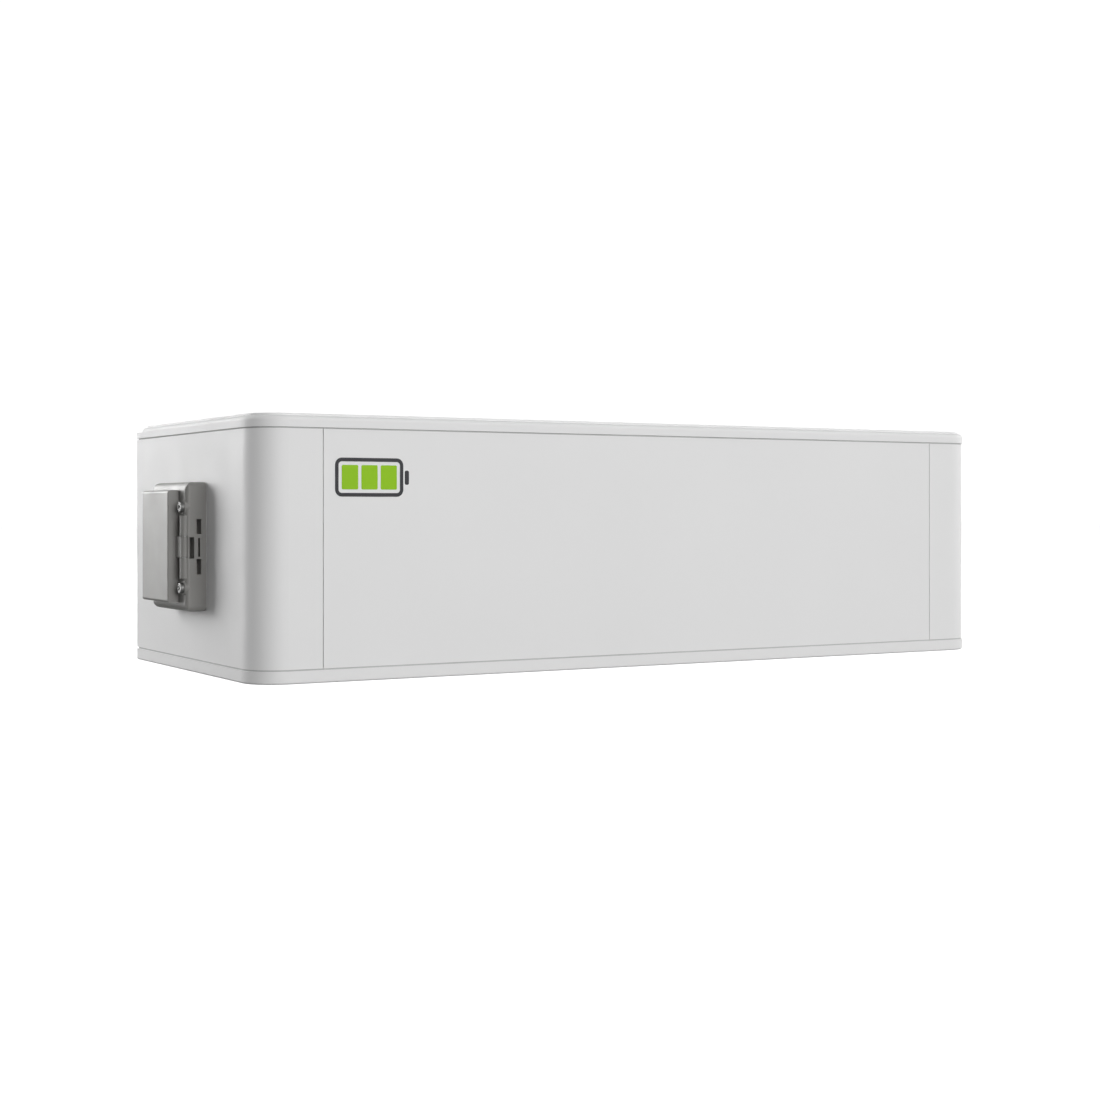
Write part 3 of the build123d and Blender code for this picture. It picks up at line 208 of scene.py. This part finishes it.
def make_materials():
    """One material for each slot of the record."""
    along_z = (1.0, 1.0, 0.1)
    along_x = (0.1, 1.0, 1.0)
    return {
        "white_powder_coat": surface("powder_coat", WHITE_PAINT, 0.55, grain=800.0, depth=0.05,
                                     vary=0.012, edge=PAINT_EDGE_HIGHLIGHT, specular=0.3),
        "seam_rubber": surface("seam_rubber", SEAM_GREY, 0.7, grain=1500.0, vary=0.1),
        "grey_plastic": surface("grey_plastic", WARM_GREY, 0.46, grain=1600.0, depth=0.06,
                                vary=0.05, edge=GREY_EDGE_HIGHLIGHT, edge_width=0.35),
        "black_plastic": surface("black_plastic", BLACK, 0.45, grain=1600.0, vary=0.3,
                                 edge=BLACK_EDGE_HIGHLIGHT),
        "zinc_steel": surface("zinc_steel", ZINC, 0.32, 1.0, vary=0.12, stretch=along_z),
        "dark_screw_steel": surface("screw_steel", SCREW_STEEL, 0.5, 1.0, vary=0.15,
                                    edge=STEEL_EDGE_HIGHLIGHT, edge_width=0.7),
        "aluminium": surface("aluminium", BRIGHT_ALUMINIUM, 0.35, 1.0, vary=0.08, stretch=along_x),
        "copper_bar": surface("copper_bar", COPPER, 0.28, 1.0, vary=0.12),
        "cell_wrap": surface("cell_wrap", WRAP_BLUE, 0.30, vary=0.12, coat=0.3),
        "circuit_board": surface("circuit_board", BOARD_GREEN, 0.35, grain=3000.0, vary=0.3,
                                 coat=0.2),
        "fuse_ceramic": surface("fuse_ceramic", CERAMIC, 0.35, vary=0.06, coat=0.3),
        "red_insulation": surface("red_insulation", LEAD_RED, 0.42, vary=0.1),
        "black_insulation": surface("black_insulation", BLACK, 0.42, vary=0.3),
        "insulating_sheet": surface("insulating_sheet", SHEET_CREAM, 0.6, vary=0.06),
        "button_plastic": surface("button_plastic", BUTTON_GREEN, 0.28, vary=0.08,
                                  edge=GREEN_EDGE_HIGHLIGHT),
    }


def dress_frame(materials):
    """Gives each CAD node the material of its slot."""
    for part in frame["record"]["subparts"]:
        thing = frame["nodes"][part["node"]]
        thing.data.materials.clear()
        thing.data.materials.append(materials[part["material_slot"]])


def place_piece(name, data, material):
    """Adds a piece that rides on the case."""
    thing = bpy.data.objects.new(name, data)
    bpy.context.scene.collection.objects.link(thing)
    data.materials.append(material)
    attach(thing, "case")
    return thing


def finish_mesh(name, mesh):
    """Turns an edited mesh into data with its faces turned outwards."""
    bmesh.ops.recalc_face_normals(mesh, faces=mesh.faces)
    data = bpy.data.meshes.new(name)
    mesh.to_mesh(data)
    mesh.free()
    return data


# Printed mark

def rounded_outline(x0, x1, z0, z1, radius):
    """The corners of a rounded rectangle, anticlockwise seen from the front."""
    steps = 6
    corners = (
        (x1 - radius, z1 - radius, 0),
        (x0 + radius, z1 - radius, 90),
        (x0 + radius, z0 + radius, 180),
        (x1 - radius, z0 + radius, 270),
    )
    points = []
    for cx, cz, start in corners:
        for step in range(steps + 1):
            turn = math.radians(start + 90 * step / steps)
            points.append((cx + radius * math.cos(turn), cz + radius * math.sin(turn)))
    return points


def join_rings(mesh, first, second):
    """Faces between two closed rings of points."""
    for index, (a, b) in enumerate(zip(first, second)):
        after = (index + 1) % len(first)
        mesh.faces.new((a, first[after], second[after], b))


def print_shape(mesh, outer, hole, front_y, thickness):
    """Adds a thin printed shape, solid or with one hole, that faces the front."""
    back_y = front_y + thickness
    fronts, backs = [], []
    for ring in [outer] if hole is None else [outer, hole]:
        fronts.append([mesh.verts.new((x, front_y, z)) for x, z in ring])
        backs.append([mesh.verts.new((x, back_y, z)) for x, z in ring])
        join_rings(mesh, fronts[-1], backs[-1])
    if hole is None:
        mesh.faces.new(fronts[0])
        mesh.faces.new(list(reversed(backs[0])))
    else:
        join_rings(mesh, fronts[0], fronts[1])
        join_rings(mesh, backs[0], backs[1])


def make_mark():
    """A generic battery pictogram: a grey outline with a terminal and three green bars."""
    lift = 0.12 * MM
    line = 2.6 * MM
    gap = 2.4 * MM
    low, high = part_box("front_panel")
    front_y = low.y - lift
    left = low.x + 8.5 * MM
    right = left + 52 * MM
    top = high.z - 19.5 * MM
    bottom = top - 27 * MM
    outline = bmesh.new()
    outer = rounded_outline(left, right, bottom, top, 5 * MM)
    inner = rounded_outline(left + line, right - line, bottom + line, top - line, 2.4 * MM)
    print_shape(outline, outer, inner, front_y, lift)
    tip_left = right + 1.2 * MM
    tip_right = right + 4.4 * MM
    tip_inset = 8.5 * MM
    tip = rounded_outline(tip_left, tip_right, bottom + tip_inset, top - tip_inset, 1.2 * MM)
    print_shape(outline, tip, None, front_y, lift)
    grey = surface("mark_grey", MARK_GREY, 0.5, vary=0.15, specular=0.2)
    place_piece("mark_outline", finish_mesh("mark_outline", outline), grey)
    bars = bmesh.new()
    bar_width = (right - left - 2 * line - 4 * gap) / 3
    margin = line + gap
    for index in range(3):
        x0 = left + margin + index * (bar_width + gap)
        bar = rounded_outline(x0, x0 + bar_width, bottom + margin, top - margin, 1.0 * MM)
        print_shape(bars, bar, None, front_y, lift)
    green = surface("mark_green", MARK_GREEN, 0.5, vary=0.08, specular=0.2)
    place_piece("mark_bars", finish_mesh("mark_bars", bars), green)


# Details under the port cover

def ring_profile(inner, outer, thickness):
    """Half of a ring's section, as radius and height, with its outer corners rounded."""
    round_off = 0.35 * thickness
    return [
        (inner, 0.0),
        (inner, thickness - round_off),
        (inner + round_off, thickness),
        (outer - round_off, thickness),
        (outer, thickness - round_off),
        (outer, 0.0),
    ]


def make_socket_ring(name, mount, colour):
    """A coloured ring on the face of a power socket."""
    steps = 48
    centre = Vector(mount["pos_m"])
    profile = ring_profile(inner=4.6 * MM, outer=6.9 * MM, thickness=0.5 * MM)
    mesh = bmesh.new()
    sections = []
    for step in range(steps):
        turn = math.tau * step / steps
        section = []
        for radius, height in profile:
            offset = Vector((-height, radius * math.cos(turn), radius * math.sin(turn)))
            section.append(mesh.verts.new(centre + offset))
        sections.append(section)
    for index, section in enumerate(sections):
        join_rings(mesh, section, sections[(index + 1) % steps])
    material = surface(f"{name}_finish", colour, 0.38, vary=0.1)
    ring = place_piece(name, finish_mesh(name, mesh), material)
    for face in ring.data.polygons:
        face.use_smooth = True
    sharp_angle = 50.0
    ring.data.set_sharp_from_angle(angle=math.radians(sharp_angle))


def make_jack_contacts(name, opening):
    """The eight gold contacts along the roof of a data jack, bent down towards its mouth."""
    count = 8
    pitch = 1.02 * MM
    (front, y_low, _), (back, y_high, roof) = opening["box_m"]
    middle_y = (y_low + y_high) / 2
    root = back + 0.4 * MM
    path = [
        (root, roof - 0.6 * MM),
        (root - 2.0 * MM, roof - 0.8 * MM),
        (front + 4.4 * MM, roof - 3.4 * MM),
        (front + 2.4 * MM, roof - 1.2 * MM),
    ]
    data = bpy.data.curves.new(name, "CURVE")
    data.dimensions = "3D"
    data.bevel_depth = 0.19 * MM
    data.bevel_resolution = 3
    data.resolution_u = 8
    data.use_fill_caps = True
    for index in range(count):
        y = middle_y + (index - (count - 1) / 2) * pitch
        spline = data.splines.new("NURBS")
        spline.points.add(len(path) - 1)
        for point, (x, z) in zip(spline.points, path):
            point.co = (x, y, z, 1.0)
        spline.order_u = 3
        spline.use_endpoint_u = True
    place_piece(name, data, surface(f"{name}_finish", GOLD, 0.25, 1.0, vary=0.1))


def make_port_details():
    """The rings and contacts that show when the port cover is open."""
    mounts = {mount["name"]: mount for mount in frame["record"]["mounts"]}
    openings = {item["name"]: item for item in frame["record"]["physics"]["openings"]}
    make_socket_ring("positive_socket_ring", mounts["upper_power_socket"], LEAD_RED)
    make_socket_ring("negative_socket_ring", mounts["lower_power_socket"], WARM_GREY)
    for level in ("upper", "lower"):
        make_jack_contacts(f"{level}_jack_contacts", openings[f"{level}_data_jack"])


# Studio

def area_light(name, place, size, energy):
    """A square softbox that points at the middle of the unit."""
    low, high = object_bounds()
    data = bpy.data.lights.new(name, "AREA")
    data.shape = "SQUARE"
    data.size = size
    data.energy = energy
    lamp = bpy.data.objects.new(name, data)
    bpy.context.scene.collection.objects.link(lamp)
    lamp.location = place
    lamp.rotation_mode = "QUATERNION"
    aim = (low + high) / 2 - Vector(place)
    lamp.rotation_quaternion = aim.to_track_quat("-Z", "Y")


def make_lights():
    """Two softboxes in front, three behind that graze the port's wall, one above, one right."""
    area_light("front_softbox", place=(-0.12, -3.5, 0.9), size=2.0, energy=76.0)
    area_light("front_right_softbox", place=(2.48, -2.48, 0.9), size=2.0, energy=21.0)
    area_light("rear_softbox", place=(-1.05, 2.6, 0.9), size=1.4, energy=23.0)
    area_light("rear_left_softbox", place=(-1.72, 2.21, 0.9), size=1.4, energy=34.0)
    area_light("low_rear_softbox", place=(-1.72, 2.21, 0.2), size=1.4, energy=15.0)
    area_light("top_softbox", place=(0.0, 0.2, 3.0), size=3.0, energy=14.0)
    area_light("right_softbox", place=(3.2, 0.1, 0.9), size=1.6, energy=32.0)


def make_floor():
    """A glowing white floor, seen by the camera alone, so that it tints nothing."""
    half = 12.0
    gap = 0.2 * MM
    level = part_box("bottom_tray")[0].z - gap
    mesh = bmesh.new()
    corners = ((-half, -half), (half, -half), (half, half), (-half, half))
    mesh.faces.new([mesh.verts.new((x, y, level)) for x, y in corners])
    data = finish_mesh("floor", mesh)
    floor = bpy.data.objects.new("floor", data)
    bpy.context.scene.collection.objects.link(floor)
    material, nodes, links, shader = new_material("studio_floor")
    cloud = spread(nodes, links, noise(nodes, links, 2.0, 2.0), 0.0, 1.0)
    tint = mix_colour(nodes, links, cloud, scaled(FLOOR_WHITE, 0.99), FLOOR_WHITE)
    links.new(tint, shader.inputs["Base Color"])
    shader.inputs["Roughness"].default_value = 0.9
    shader.inputs["Emission Color"].default_value = (1.0, 1.0, 1.0, 1.0)
    shader.inputs["Emission Strength"].default_value = 0.85
    data.materials.append(material)
    floor.visible_diffuse = False
    floor.visible_glossy = False
    floor.visible_shadow = False
    floor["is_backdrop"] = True


def make_world():
    """White behind the unit, and a weaker even light from all round."""
    ambient = 0.176
    backdrop = 1.05
    world = bpy.data.worlds.new("studio")
    bpy.context.scene.world = world
    world.use_nodes = True
    nodes, links = world.node_tree.nodes, world.node_tree.links
    path = nodes.new("ShaderNodeLightPath")
    seen = path.outputs["Is Camera Ray"]
    strength = remap(nodes, links, seen, (0.0, 1.0), (ambient, backdrop))
    links.new(strength, nodes["Background"].inputs["Strength"])
    nodes["Background"].inputs["Color"].default_value = (1.0, 1.0, 1.0, 1.0)


def make_camera():
    """The camera, low in front of the unit's left end."""
    data = bpy.data.cameras.new("camera")
    data.sensor_width = 36.0
    data.lens = 59.1
    data.shift_y = -0.0363
    data.clip_start = 0.05
    data.clip_end = 60.0
    camera = bpy.data.objects.new("camera", data)
    bpy.context.scene.collection.objects.link(camera)
    camera.location = (-0.7657, -1.2779, 0.1187)
    camera.rotation_euler = (math.radians(90.0), 0.0, math.radians(-30.276))
    bpy.context.scene.camera = camera


dress_frame(make_materials())
make_mark()
make_port_details()
make_floor()
make_world()
make_lights()
make_camera()
bpy.context.scene.view_settings.view_transform = "Standard"

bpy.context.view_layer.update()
